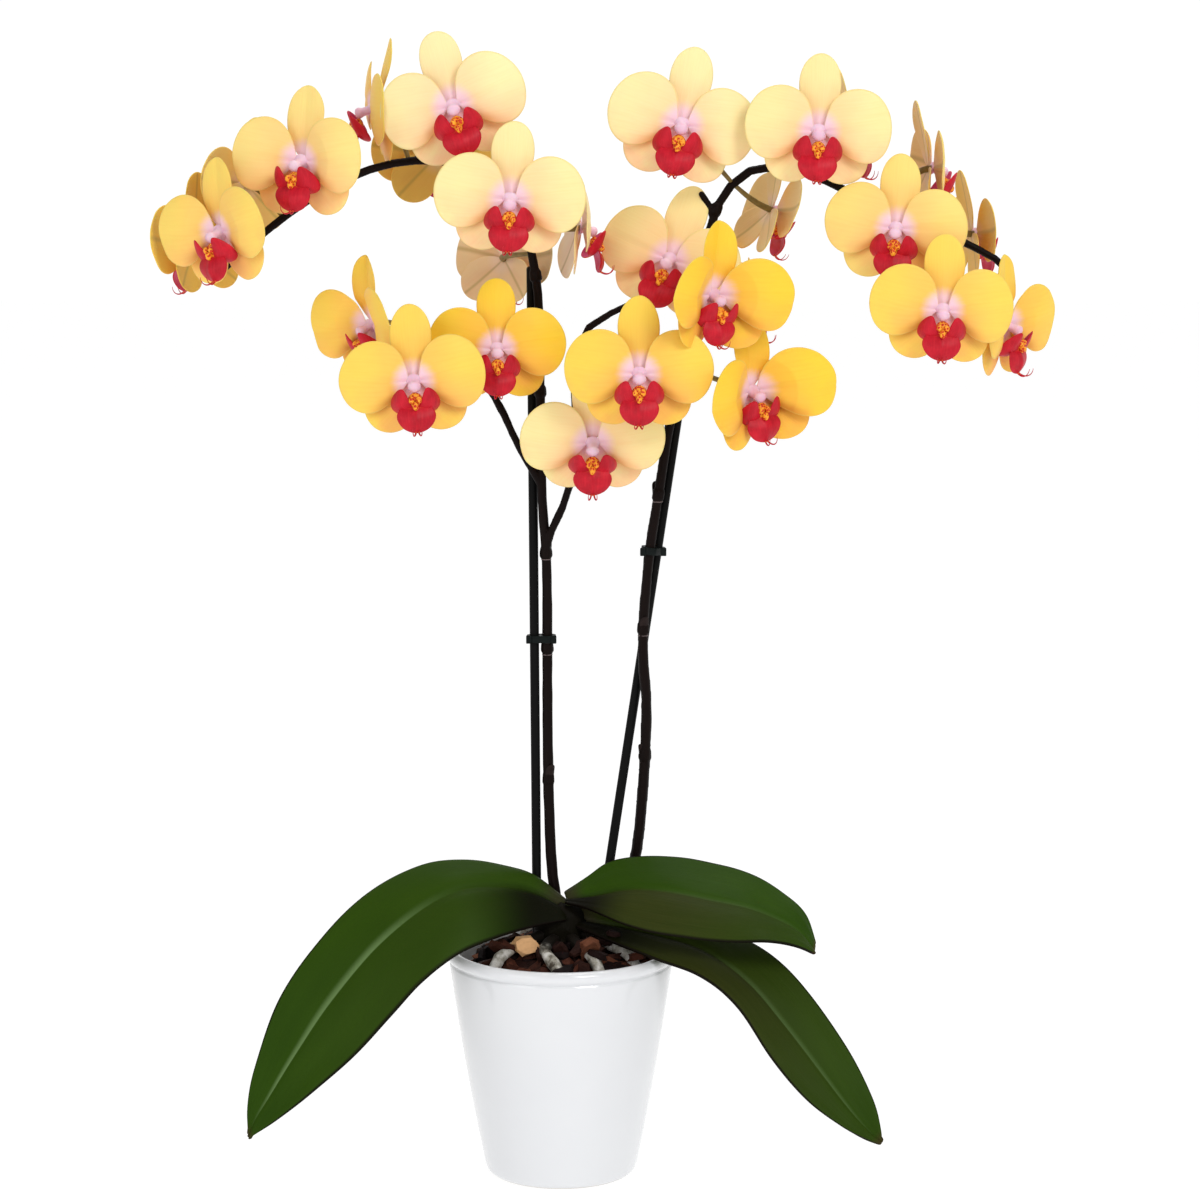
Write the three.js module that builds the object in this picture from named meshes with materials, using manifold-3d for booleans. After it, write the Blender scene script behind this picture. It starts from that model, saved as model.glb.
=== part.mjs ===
// A potted moth orchid: a white glazed ceramic pot filled with bark, one plant with three leaves
// and two flower spikes, each spike clipped to a thin stake. Millimetres, +Z up. The origin is the
// centre of the pot's flat base, the front of the plant faces -Y, and +X is to its right.
import * as THREE from "three";
import { mergeVertices } from "three/addons/utils/BufferGeometryUtils.js";
import Module from "manifold-3d";

const wasm = await Module();
wasm.setup();

// Driving dimensions.
const GAP = 0.35; // clearance between pieces that touch on the real plant
const POT_HEIGHT = 130;
const POT_RIM_RADIUS = 64.5;
const POT_BODY_RADIUS = 62.8; // just under the rolled rim
const POT_BASE_RADIUS = 42;
const POT_WALL = 5;
const POT_FLOOR = 7;
const POT_SIDES = 36;
const BARK_EDGE_Z = 119;
const BARK_CROWN_Z = 132;
const BARK_LUMPS = { count: 6, height: 1.6 };
const ROOT_RADIUS = 3.2;
const LEAF_THICKNESS = 2.4;
const STAKE_RADIUS = 2.4;
const SPIKE_RADIUS = [2.8, 1.6]; // at the crown and at the tip
const BRANCH_RADIUS = [1.9, 1.3];
const COLLAR_RADIUS = [3.3, 3]; // round each node of a spike
const PEDICEL_RADIUS = [1.2, 1.7]; // at the spike and behind the bloom
const FLOWER_WIDTH = 80; // across the two petals of a full bloom
const TEPAL_THICKNESS = 1.3;
const CLIP_WALL = 1.5;
const CLIP_HEIGHT = 4;
const CLIP_PLAY = 0.4; // between a stake and its ring
const CLIP_SPIKE_BORE = 3.4;

const material = (color, roughness, metalness = 0) =>
  new THREE.MeshStandardMaterial({ color, roughness, metalness });
const glaze = material("#f4f5f6", 0.15);
const bark = material("#4a2a1c", 0.9);
const rootSkin = material("#9b9a8c", 0.8);
const leafGreen = material("#28401a", 0.35);
const sheathGreen = material("#4c5a2a", 0.5);
const stemDark = material("#1d1416", 0.45);
const stakeDark = material("#0f1012", 0.4);
const clipDark = material("#0c1211", 0.35);
const petalPale = material("#fbe6a4", 0.55);
const petalGold = material("#f4c23f", 0.55);
const petalBack = material("#c9a65a", 0.6);

const orchid = new THREE.Group();

function addPiece(name, geometry, pieceMaterial) {
  const piece = new THREE.Mesh(geometry, pieceMaterial);
  piece.name = name;
  orchid.add(piece);
}

const vec = ([x, y, z]) => new THREE.Vector3(x, y, z);

// A closed geometry as a solid that can be joined and cut.
function solidOf(geometry) {
  const bare = geometry.clone();
  bare.deleteAttribute("normal");
  bare.deleteAttribute("uv");
  const merged = mergeVertices(bare, 1e-3);
  return new wasm.Manifold(
    new wasm.Mesh({
      numProp: 3,
      vertProperties: new Float32Array(merged.attributes.position.array),
      triVerts: new Uint32Array(merged.index.array),
    }),
  );
}

function geometryOf(solid) {
  const mesh = solid.getMesh();
  return new THREE.BufferGeometry()
    .setAttribute("position", new THREE.BufferAttribute(mesh.vertProperties, 3))
    .setIndex(new THREE.BufferAttribute(mesh.triVerts, 1));
}

const joined = (geometries) =>
  geometries.map(solidOf).reduce((whole, piece) => whole.add(piece));

// The main body of a cut solid, without the crumbs that a cut leaves loose.
const largestOf = (solid) =>
  solid.decompose().reduce((a, b) => (a.volume() > b.volume() ? a : b));

// Moves every vertex of a geometry to the place that the function gives for it.
function reshaped(geometry, place) {
  const positions = geometry.attributes.position;
  for (let i = 0; i < positions.count; i++) {
    const at = place(new THREE.Vector3().fromBufferAttribute(positions, i));
    positions.setXYZ(i, at.x, at.y, at.z);
  }
  return geometry;
}

const curveThrough = (points) =>
  new THREE.CatmullRomCurve3(points.map(vec), false, "centripetal");

// A round stalk that tapers along a curve: a closed cylinder bent onto it.
function stalk(curve, radii, steps, sides) {
  const frames = curve.computeFrenetFrames(steps, false);
  const cylinder = new THREE.CylinderGeometry(1, 1, 1, sides, steps);
  return reshaped(cylinder, ({ x, y, z }) => {
    const along = y + 0.5;
    const row = Math.round(along * steps);
    const radius = THREE.MathUtils.lerp(radii[0], radii[1], along);
    return curve
      .getPointAt(along)
      .addScaledVector(frames.normals[row], z * radius)
      .addScaledVector(frames.binormals[row], x * radius);
  });
}

// Pot: a tapered wall that swells a little, a groove, and a rolled rim.
const POT_BODY_HEIGHT = 121; // from the base to the groove under the rim
const POT_SWELL = 1.1;
const bodyRadius = (z) =>
  POT_BASE_RADIUS +
  ((POT_BODY_RADIUS - POT_BASE_RADIUS) * z) / POT_BODY_HEIGHT +
  POT_SWELL * Math.sin((Math.PI * z) / POT_BODY_HEIGHT);
const boreRadius = (z) => bodyRadius(z) - POT_WALL;

function potGeometry() {
  const outside = [4, 30, 60, 90, 116].map((z) => [bodyRadius(z), z]);
  const inside = [116, 90, 60, 30].map((z) => [boreRadius(z), z]);
  const profile = [
    [0, 0],
    [POT_BASE_RADIUS - 5, 0],
    [POT_BASE_RADIUS - 1.2, 1.2],
    ...outside,
    [POT_BODY_RADIUS - 0.6, 121.8],
    [POT_RIM_RADIUS - 0.8, 123],
    [POT_RIM_RADIUS, 125],
    [POT_RIM_RADIUS - 0.4, 128.3],
    [POT_RIM_RADIUS - 2.2, POT_HEIGHT],
    [POT_RIM_RADIUS - 4.6, 129.2],
    [POT_RIM_RADIUS - 6.2, 125],
    ...inside,
    [boreRadius(POT_FLOOR) - 3, POT_FLOOR],
    [0, POT_FLOOR],
  ];
  const points = profile.map(([r, z]) => new THREE.Vector2(r, z));
  return new THREE.LatheGeometry(points, POT_SIDES).rotateX(Math.PI / 2);
}
addPiece("pot", potGeometry(), glaze);

// Stakes: straight rods pushed into the bark. The right one leans with its spike.
const STAKES = {
  left: [
    [-13, 10, 45],
    [-16, 10, 512],
  ],
  right: [
    [8, 10, 45],
    [66.5, 10, 438],
  ],
};
const stakeGeometry = (ends, extra = 0) =>
  stalk(
    new THREE.LineCurve3(vec(ends[0]), vec(ends[1])),
    [STAKE_RADIUS + extra, STAKE_RADIUS + extra],
    1,
    12,
  );
for (const side in STAKES)
  addPiece(`stake_${side}`, stakeGeometry(STAKES[side]), stakeDark);

// Crown: the short upright stem, wrapped in the bases of old leaves.
function crownGeometry(extra = 0) {
  const profile = [
    [0, 126],
    [9, 127],
    [11, 134],
    [11.5, 142],
    [10, 148],
    [6, 152],
    [0, 153],
  ];
  const points = profile.map(
    ([r, z]) => new THREE.Vector2(r === 0 ? 0 : r + extra, z),
  );
  return new THREE.LatheGeometry(points, 16)
    .rotateX(Math.PI / 2)
    .scale(1.1, 0.8, 1);
}

// Roots: thick pale roots that leave the crown and dive into the bark.
const ROOTS = [
  [[-9, -5, 138], [-24, -17, 134.5], [-34, -28, 130], [-38, -33, 121], [-38, -34, 112]],
  [[-3, -8, 137], [-9, -26, 134], [-4, -40, 130], [2, -47, 121], [3, -48, 112]],
  [[5, -7, 138], [12, -24, 134], [19, -36, 131], [23, -42, 122], [24, -43, 112]],
  [[10, -3, 138], [27, -14, 134.5], [38, -20, 129.5], [43, -22, 121], [44, -23, 112]],
  [[-4, 7, 138], [-10, 26, 134], [-20, 37, 129], [-24, 42, 118]],
  [[8, 5, 138], [15, 27, 134], [26, 37, 129], [29, 41, 118]],
];
const rootGeometry = (points, extra = 0) =>
  stalk(
    curveThrough(points),
    [ROOT_RADIUS + extra, ROOT_RADIUS + extra],
    8,
    6,
  );

// Bark bed: fills the pot to just under the rim and rises to a mound around the crown.
function barkGeometry() {
  const insetRadius = (z) => boreRadius(z) - 2 * GAP;
  const profile = [
    [0, POT_FLOOR + GAP],
    [insetRadius(POT_FLOOR) - 4, POT_FLOOR + GAP],
    [insetRadius(34), 34],
    [insetRadius(75), 75],
    [insetRadius(BARK_EDGE_Z) - 2, BARK_EDGE_Z - 3],
    [44, BARK_EDGE_Z + 4],
    [30, BARK_EDGE_Z + 8],
    [16, BARK_CROWN_Z - 2],
    [0, BARK_CROWN_Z],
  ];
  const points = profile.map(([r, z]) => new THREE.Vector2(r, z));
  const bed = new THREE.LatheGeometry(points, 24).rotateX(Math.PI / 2);
  return reshaped(bed, (at) => {
    const radius = Math.hypot(at.x, at.y);
    const angle = Math.atan2(at.y, at.x);
    const { count, height } = BARK_LUMPS;
    if (at.z > BARK_EDGE_Z - 1 && radius > 1)
      at.z += height * (Math.sin(count * angle + radius) - 0.25);
    return at;
  });
}

const crownSolid = solidOf(crownGeometry());
const fatCrown = solidOf(crownGeometry(GAP));
const fatRoots = joined(ROOTS.map((points) => rootGeometry(points, GAP)));
let barkSolid = solidOf(barkGeometry()).subtract(fatCrown).subtract(fatRoots);
for (const side in STAKES)
  barkSolid = barkSolid.subtract(solidOf(stakeGeometry(STAKES[side], GAP)));
addPiece("bark_bed", geometryOf(largestOf(barkSolid)), bark);
ROOTS.forEach((points, i) => {
  const cut = solidOf(rootGeometry(points)).subtract(fatCrown);
  addPiece(`root_${i + 1}`, geometryOf(cut), rootSkin);
});
addPiece("crown", geometryOf(crownSolid), sheathGreen);

// Leaves: thick blades between a back edge and a front edge, creased along the midrib.
const LEAVES = {
  left: {
    back: [[5, 4, 155], [-14, 4, 170], [-31, 2, 176], [-53, 0, 180], [-78, -6, 179],
      [-107, -18, 166], [-133, -32, 143], [-155, -44, 113], [-169, -56, 76], [-173, -62, 55],
      [-172, -66, 41]],
    mid: [[4, -4, 154], [-15, -8, 165], [-34, -18, 170], [-56, -27, 170], [-78, -34, 160],
      [-103, -44, 140], [-127, -52, 112], [-146, -58, 84], [-161, -64, 60], [-169, -66, 47],
      [-172, -67, 38]],
    front: [[4, -12, 148], [-15, -23, 146], [-36, -40, 144], [-56, -51, 138], [-76, -60, 124],
      [-92, -65, 107], [-114, -69, 84], [-136, -71, 65], [-155, -71, 50], [-167, -69, 41],
      [-172, -67, 37]],
  },
  right_upper: {
    back: [[1, 6, 160], [14, 5, 169], [28, 5, 178], [50, 5, 181], [75, 3, 180], [103, -3, 174],
      [126, -12, 163], [137, -22, 154], [142, -34, 140]],
    mid: [[2, -2, 159], [19, -9, 163], [36, -17, 168], [56, -24, 169], [78, -30, 166],
      [101, -34, 162], [121, -36, 155], [134, -38, 147], [142, -39, 137]],
    front: [[2, -8, 157], [14, -16, 156], [32, -34, 152], [54, -45, 148], [76, -51, 146],
      [96, -54, 146], [114, -54, 146], [130, -49, 142], [142, -41, 136]],
  },
  right_lower: {
    back: [[9, 3, 150], [34, 2, 152], [64, 0, 149], [92, -8, 142], [117, -24, 132],
      [139, -40, 113], [159, -54, 86], [172, -66, 61], [176, -72, 48], [177, -75, 40]],
    mid: [[9, -4, 148], [32, -12, 146], [58, -21, 142], [82, -32, 136], [104, -44, 122],
      [123, -54, 101], [143, -64, 76], [159, -71, 56], [169, -74, 45], [177, -76, 38]],
    front: [[8, -10, 145], [28, -26, 140], [52, -40, 133], [76, -52, 127], [98, -61, 111],
      [116, -68, 84], [135, -74, 62], [154, -77, 48], [167, -77, 41], [176, -76, 37]],
  },
};
const LEAF_ROWS = 12;
const LEAF_COLUMNS = 4;
const LEAF_EDGE = 0.35; // thickness at the margin against the midrib
const LEAF_TIP = 0.4; // thickness at the tip against the base

function leafGeometry({ back, mid, front }) {
  const edges = [back, mid, front].map(curveThrough);
  const block = new THREE.BoxGeometry(1, 1, 1, LEAF_ROWS, LEAF_COLUMNS, 1);
  return reshaped(block, ({ x, y, z }) => {
    const along = x + 0.5;
    const across = y + 0.5;
    const [b, m, f] = edges.map((edge) => edge.getPointAt(along));
    // Quadratic through the back edge, the midrib and the front edge.
    const at = b
      .clone()
      .multiplyScalar((1 - across) * (1 - 2 * across))
      .addScaledVector(m, 4 * across * (1 - across))
      .addScaledVector(f, across * (2 * across - 1));
    const up = edges[1].getTangentAt(along).cross(f.clone().sub(b)).normalize();
    const margin = LEAF_EDGE + (1 - LEAF_EDGE) * Math.sin(Math.PI * across);
    const end = 1 - (1 - LEAF_TIP) * along ** 4;
    return at.addScaledVector(up, z * LEAF_THICKNESS * margin * end);
  });
}
for (const side in LEAVES) {
  const blade = solidOf(leafGeometry(LEAVES[side])).subtract(fatCrown);
  addPiece(`leaf_${side}`, geometryOf(largestOf(blade)), leafGreen);
}

// Spikes: each grows from the crown beside its stake and branches where it carries many blooms.
const SPIKE_LINES = {
  left: [[-3, 10, 156], [-5, 9.5, 171], [-7, 9, 222], [-7.5, 10, 294], [-7.5, 10, 330],
    [-8, 9, 352], [-10, 6, 382], [-11, 5, 438], [-13, 4, 505], [-22, 2, 541], [-33, 0, 558],
    [-61, -6, 570], [-87, -10, 570], [-114, -12, 562], [-145, -14, 544], [-169, -14, 525],
    [-186, -12, 510]],
  right: [[7, 10, 156], [26, 18, 158], [38, 19, 165], [42.5, 17, 180], [45, 13, 204], [47, 8, 233],
    [48, 3, 270], [46, 2, 293], [46, 3, 310], [49.5, 4, 354], [54, 4, 383], [60, 4, 422],
    [67, 4, 455], [75, 2, 489], [80, 0, 516], [84, 0, 540], [92, 0, 555], [107, 0, 566],
    [131, 0, 565], [157, 0, 554], [186, 0, 541], [219, -2, 527], [240, -2, 516], [248, -2, 508]],
};
const BRANCH_LINES = {
  left: [
    [[-9, 8, 352], [-4, 5, 368], [4, 2, 386], [8, 2, 411], [8, 2, 439], [8, 2, 462],
      [16, 3, 479], [29, 5, 487], [51, 8, 496], [68, 10, 500], [84, 11, 504]],
    [[-10, 6, 390], [-15, 3, 399], [-24, 4, 415], [-35, 6, 438], [-45, 6, 452], [-61, 4, 469],
      [-77, 4, 478], [-90, 4, 482]],
  ],
  right: [[[84, 0, 540], [81, -1, 547], [77, -2, 553]]],
};
const NODE_HEIGHTS = { left: [222, 296, 350, 440, 505], right: [235, 308, 383, 470, 541] };
const SPIKE_STEPS = 46;
const COLLAR_LENGTH = 0.008; // as a share of its spike

const SPIKE_CURVES = {
  left: curveThrough(SPIKE_LINES.left),
  right: curveThrough(SPIKE_LINES.right),
  middle_branch: curveThrough(BRANCH_LINES.left[0]),
  left_branch: curveThrough(BRANCH_LINES.left[1]),
};

// The place along a curve, from 0 to 1, where it first climbs through a height.
function placeAtHeight(curve, z) {
  let along = 0;
  while (along < 1 && curve.getPointAt(along).z < z) along += 0.002;
  return along;
}

// A node: a low swelling where a small dry bract wraps the spike.
function nodeCollar(curve, z) {
  const start = placeAtHeight(curve, z);
  const ends = [start, start + COLLAR_LENGTH].map((t) => curve.getPointAt(t));
  return stalk(new THREE.LineCurve3(...ends), COLLAR_RADIUS, 1, 6);
}

for (const side of ["left", "right"]) {
  const main = SPIKE_CURVES[side];
  const branches = BRANCH_LINES[side].map((points) =>
    stalk(curveThrough(points), BRANCH_RADIUS, points.length + 3, 5),
  );
  const collars = NODE_HEIGHTS[side].map((z) => nodeCollar(main, z));
  const stem = stalk(main, SPIKE_RADIUS, SPIKE_STEPS, 6);
  const whole = joined([stem, ...branches, ...collars]).subtract(fatCrown);
  addPiece(`spike_${side}`, geometryOf(whole), stemDark);
}

// Clips: two open rings in one moulding, one ring round the stake and one round the spike.
function clipGeometry(spacing, stakeBore, spikeBore) {
  const outline = new THREE.Shape();
  const stakeOuter = stakeBore + CLIP_WALL;
  const spikeOuter = spikeBore + CLIP_WALL;
  outline.moveTo(0, -stakeOuter);
  outline.lineTo(spacing, -spikeOuter);
  outline.absarc(spacing, 0, spikeOuter, -Math.PI / 2, Math.PI / 2, false);
  outline.lineTo(0, stakeOuter);
  outline.absarc(0, 0, stakeOuter, Math.PI / 2, (3 * Math.PI) / 2, false);
  for (const [x, radius] of [[0, stakeBore], [spacing, spikeBore]]) {
    const hole = new THREE.Path();
    hole.absarc(x, 0, radius, 0, 2 * Math.PI, true);
    outline.holes.push(hole);
  }
  return new THREE.ExtrudeGeometry(outline, {
    depth: CLIP_HEIGHT,
    bevelEnabled: false,
    curveSegments: 7,
  }).translate(0, 0, -CLIP_HEIGHT / 2);
}

function addClip(side, z) {
  const [low, high] = STAKES[side].map(vec);
  const stakePoint = low.clone().lerp(high, (z - low.z) / (high.z - low.z));
  const main = SPIKE_CURVES[side];
  const spikePoint = main.getPointAt(placeAtHeight(main, z));
  const across = spikePoint.clone().sub(stakePoint).setZ(0);
  const upright = high.clone().sub(low).normalize();
  const sideways = across.clone().addScaledVector(upright, -across.dot(upright)).normalize();
  const forward = upright.clone().cross(sideways);
  const basis = new THREE.Matrix4().makeBasis(sideways, forward, upright);
  const clip = clipGeometry(across.length(), STAKE_RADIUS + CLIP_PLAY, CLIP_SPIKE_BORE);
  addPiece(`clip_${side}`, clip.applyMatrix4(basis).translate(...stakePoint), clipDark);
}
addClip("left", 304);
addClip("right", 354);

// One petal or sepal lying in the XZ plane: a flattened sphere whose pole axis runs from the
// flower's centre to the tip, fuller towards the tip, swung to its clock angle and leaned back.
const TEPAL_FULLNESS = [0.78, 1.22];
function tepalGeometry({ length, width, clock, lean, setBack }) {
  const lens = new THREE.SphereGeometry(1, 4, 4);
  reshaped(lens, ({ x, y, z }) => {
    const along = (y + 1) / 2;
    const broad = (width / 2) * THREE.MathUtils.lerp(...TEPAL_FULLNESS, along);
    return new THREE.Vector3(-x * broad, (z * TEPAL_THICKNESS) / 2 + setBack, along * length);
  });
  return lens.rotateX(-lean).rotateY(clock);
}

const TEPALS = [
  { length: 42, width: 29, clock: 0, lean: 0.16, setBack: 1.6 },
  { length: 34, width: 27, clock: 2.36, lean: 0.12, setBack: 1.6 },
  { length: 34, width: 27, clock: -2.36, lean: 0.12, setBack: 1.6 },
  { length: 40, width: 46, clock: 1.43, lean: 0.02, setBack: -0.4 },
  { length: 40, width: 46, clock: -1.43, lean: 0.02, setBack: -0.4 },
];

// Where a stem passes nearest to a point.
function nearestOn(curve, point) {
  let best = 0;
  for (let along = 0; along <= 1; along += 0.005) {
    const found = curve.getPointAt(along).distanceTo(point);
    if (found < curve.getPointAt(best).distanceTo(point)) best = along;
  }
  return best;
}

// A bloom with its lip, column and pedicel. turn is yaw, pitch and roll in degrees: yaw turns the
// face from the front to the right, pitch nods it down, roll leans the top sepal to the right.
// lower is how far below the bloom its pedicel springs, where a neighbour is in the way.
const PEDICEL_START = SPIKE_RADIUS[0] + 2 * GAP; // from the middle of the spike
const PEDICEL_BENDS = [9, 12]; // from the spike, and behind the bloom
function addBloom({ name, at, turn, width, stem, look, lower }) {
  const size = width / FLOWER_WIDTH;
  const lip = new THREE.SphereGeometry(1, 6, 3).scale(8.5, 6, 11).rotateX(-0.4);
  const column = new THREE.SphereGeometry(1, 5, 3).scale(3.6, 8, 3.6).rotateX(0.3);
  const pieces = [
    ...TEPALS.map(tepalGeometry),
    lip.translate(0, -9, -11),
    column.translate(0, -3, 0),
  ];
  const [yaw, pitch, roll] = turn.map(THREE.MathUtils.degToRad);
  const facing = new THREE.Matrix4()
    .makeRotationFromEuler(new THREE.Euler(pitch, roll, yaw, "ZXY"))
    .setPosition(vec(at));
  for (const piece of pieces) piece.scale(size, size, size).applyMatrix4(facing);

  const back = new THREE.Vector3(0, 1, 0).transformDirection(facing);
  const seat = vec(at);
  const curve = SPIKE_CURVES[stem];
  const behind = seat.clone().addScaledVector(back, 14);
  behind.z -= lower;
  const along = nearestOn(curve, behind);
  const root = curve.getPointAt(along);
  const stemWay = curve.getTangentAt(along);
  const outward = seat.clone().addScaledVector(back, 10).sub(root);
  outward.addScaledVector(stemWay, -outward.dot(stemWay)).normalize();
  const pedicel = new THREE.CubicBezierCurve3(
    root.clone().addScaledVector(outward, PEDICEL_START),
    root.clone().addScaledVector(outward, PEDICEL_BENDS[0]),
    seat.clone().addScaledVector(back, PEDICEL_BENDS[1]),
    seat,
  );
  pieces.push(stalk(pedicel, PEDICEL_RADIUS, 3, 5));
  addPiece(name, geometryOf(joined(pieces)), look);
}

const BLOOMS = [
  // the left spike's arch, from its tip to its stake
  ["left_01", [-203, 14, 524], [-125, 10, 0], 76, "left", petalBack],
  ["left_02", [-183, -40, 534], [-38, 5, -8], 78, "left", petalGold],
  ["left_03", [-174, 12, 557], [-130, 0, 0], 72, "left", petalBack],
  ["left_04", [-138, -44, 572], [-26, 0, 0], 80, "left", petalGold],
  ["left_05", [-103, 6, 598], [-82, 0, 8], 78, "left", petalBack],
  ["left_06", [-57, -32, 601], [0, 0, -16], 81, "left", petalPale],
  ["left_07", [-68, 36, 572], [180, 0, 0], 74, "left", petalBack],
  ["left_08", [-26, -52, 552], [0, 4, 3], 82, "left", petalPale],
  ["left_09", [-30, 35, 514], [142, 10, 0], 70, "left", petalBack],
  ["left_10", [12, -8, 534], [100, 0, 8], 74, "left", petalPale],
  // its low branch to the left
  ["left_11", [-104, -10, 481], [-52, 8, -6], 76, "left_branch", petalGold],
  ["left_12", [-78, -56, 455], [3, 2, -4], 80, "left_branch", petalGold],
  ["left_13", [-34, -30, 470], [4, 0, 0], 76, "left_branch", petalGold],
  // its branch to the right, between the two spikes
  ["middle_01", [18, -34, 419], [0, 14, 0], 80, "middle_branch", petalPale],
  ["middle_02", [43, -66, 460], [0, 2, 0], 81, "middle_branch", petalGold],
  ["middle_03", [60, -8, 517], [-12, 0, 18], 80, "middle_branch", petalPale],
  ["middle_04", [83, -53, 501], [32, 6, 4], 78, "right", petalGold, 28],
  // the right spike, from its stake to its tip
  ["right_01", [105, -32, 447], [30, 4, -8], 80, "right", petalGold],
  ["right_02", [103, 18, 494], [78, 0, 0], 72, "right", petalGold],
  ["right_03", [66, -28, 591], [0, 0, 12], 82, "right", petalPale],
  ["right_04", [118, 14, 542], [112, 20, 0], 70, "right", petalBack],
  ["right_05", [139, -42, 588], [0, 0, 3], 80, "right", petalPale],
  ["right_06", [160, 24, 584], [115, 0, 0], 74, "right", petalBack],
  ["right_07", [204, 2, 566], [100, 0, 0], 74, "right", petalBack],
  ["right_08", [181, -42, 536], [-6, 2, 5], 78, "right", petalPale],
  ["right_09", [205, -64, 494], [0, 3, 4], 78, "right", petalGold],
  ["right_10", [231, 38, 528], [108, 0, 0], 70, "right", petalBack],
  ["right_11", [244, -20, 482], [58, 6, 0], 76, "right", petalGold],
].map(([name, at, turn, width, stem, look, lower = 0]) => ({
  name: `bloom_${name}`,
  at,
  turn,
  width,
  stem,
  look,
  lower,
}));
BLOOMS.forEach(addBloom);

export default orchid;
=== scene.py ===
# A potted moth orchid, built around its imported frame: a white glazed pot of bark, three leaves,
# two clipped flower spikes and their blooms. Metres, +Z up, the front of the plant towards -Y.
import bisect
import math
import random

import bpy
from mathutils import Euler, Matrix, Vector, noise
from mathutils.bvhtree import BVHTree
from mathutils.geometry import interpolate_bezier


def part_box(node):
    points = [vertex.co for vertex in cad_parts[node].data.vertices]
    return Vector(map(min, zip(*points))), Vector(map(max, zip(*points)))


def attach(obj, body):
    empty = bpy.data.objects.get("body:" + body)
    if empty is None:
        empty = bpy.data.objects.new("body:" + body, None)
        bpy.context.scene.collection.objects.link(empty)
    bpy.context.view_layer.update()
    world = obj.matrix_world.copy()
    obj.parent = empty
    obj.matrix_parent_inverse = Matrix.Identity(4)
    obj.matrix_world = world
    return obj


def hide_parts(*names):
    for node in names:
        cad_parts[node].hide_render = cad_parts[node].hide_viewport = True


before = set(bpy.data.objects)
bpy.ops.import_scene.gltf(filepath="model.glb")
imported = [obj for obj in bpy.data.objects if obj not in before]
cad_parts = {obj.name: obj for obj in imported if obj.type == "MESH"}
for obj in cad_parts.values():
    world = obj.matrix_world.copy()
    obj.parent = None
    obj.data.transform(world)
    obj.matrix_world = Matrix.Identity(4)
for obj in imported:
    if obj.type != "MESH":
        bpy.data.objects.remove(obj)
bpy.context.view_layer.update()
MM = 0.001

# ----------------------------------------
# Camera, floor and light: a long lens level with the top blooms, a white floor that meets a white
# horizon, and three large soft lights.
# ----------------------------------------
CAMERA_AT = Vector((0.022, -2.2, 0.675))
CAMERA_DOWN = math.radians(8.98)
LENS = 120.2


def added(operator, **settings):
    """The one object that an operator adds, alone in the selection."""
    bpy.ops.object.select_all(action="DESELECT")
    operator(**settings)
    return bpy.context.object


rotation = (math.pi / 2 - CAMERA_DOWN, 0, 0)
camera = added(bpy.ops.object.camera_add, location=CAMERA_AT, rotation=rotation)
camera.data.lens = LENS
camera.data.clip_end = 20
bpy.context.scene.camera = camera

FLOOR_HALF = 6.0
FLOOR_DROP = (0, 0, -0.0002)  # a hair under the pot, so that their faces don't flicker
floor = added(bpy.ops.mesh.primitive_plane_add, size=2 * FLOOR_HALF, location=FLOOR_DROP)
floor.name = "studio_floor"


def add_light(name, at, look_at, size, power, tint=(1, 1, 1)):
    light = added(bpy.ops.object.light_add, type="AREA", location=at)
    light.name = name
    light.data.shape = "DISK"
    light.data.size = size
    light.data.energy = power
    light.data.color = tint
    light.rotation_euler = (Vector(look_at) - Vector(at)).to_track_quat("-Z", "Y").to_euler()


PLANT_MIDDLE = (0, 0, 0.35)
add_light("key_light", (1.1, -1.9, 1.8), PLANT_MIDDLE, 1.0, 24)
add_light("fill_light", (-1.5, -1.8, 1.0), PLANT_MIDDLE, 1.6, 10)
add_light("top_light", (0.2, 0.5, 2.3), PLANT_MIDDLE, 1.2, 16)

# The sky is white behind the plant, pale at its sides and dimmer overhead.
SKY_RAMPS = {"Z": ((0.08, 1.0), (0.4, 0.55)), "Y": ((0.1, 0.74), (0.75, 1.03))}
world = bpy.data.worlds.new("studio")
bpy.context.scene.world = world
world.use_nodes = True
sky = world.node_tree
direction = sky.nodes.new("ShaderNodeTexCoord")
split = sky.nodes.new("ShaderNodeSeparateXYZ")
brightness = sky.nodes.new("ShaderNodeMath")
brightness.operation = "MULTIPLY"
sky.links.new(direction.outputs["Generated"], split.inputs[0])
for i, (axis, stops) in enumerate(SKY_RAMPS.items()):
    fade = sky.nodes.new("ShaderNodeMapRange")
    for end, (place, level) in zip(("Min", "Max"), stops):
        fade.inputs["From " + end].default_value = place
        fade.inputs["To " + end].default_value = level
    sky.links.new(split.outputs[axis], fade.inputs["Value"])
    sky.links.new(fade.outputs["Result"], brightness.inputs[i])
sky.links.new(brightness.outputs[0], sky.nodes["Background"].inputs["Strength"])
sky.nodes["Background"].inputs["Color"].default_value = (1, 1, 1, 1)
bpy.context.scene.view_settings.view_transform = "Standard"


# Shader maths as plain arithmetic: a Socket is one output of a node, and an expression on it adds
# Math nodes. A Finish is one material and adds every other kind of node.
class Socket:
    def __init__(self, finish, output):
        self.finish = finish
        self.output = output

    def maths(self, operation, first, second):
        settings = {"operation": operation}
        return self.finish.node("Math", settings, {0: first, 1: second})

    def __add__(self, other):
        return self.maths("ADD", self, other)

    def __radd__(self, other):
        return self.maths("ADD", other, self)

    def __sub__(self, other):
        return self.maths("SUBTRACT", self, other)

    def __rsub__(self, other):
        return self.maths("SUBTRACT", other, self)

    def __mul__(self, other):
        return self.maths("MULTIPLY", self, other)

    def __rmul__(self, other):
        return self.maths("MULTIPLY", other, self)


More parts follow.
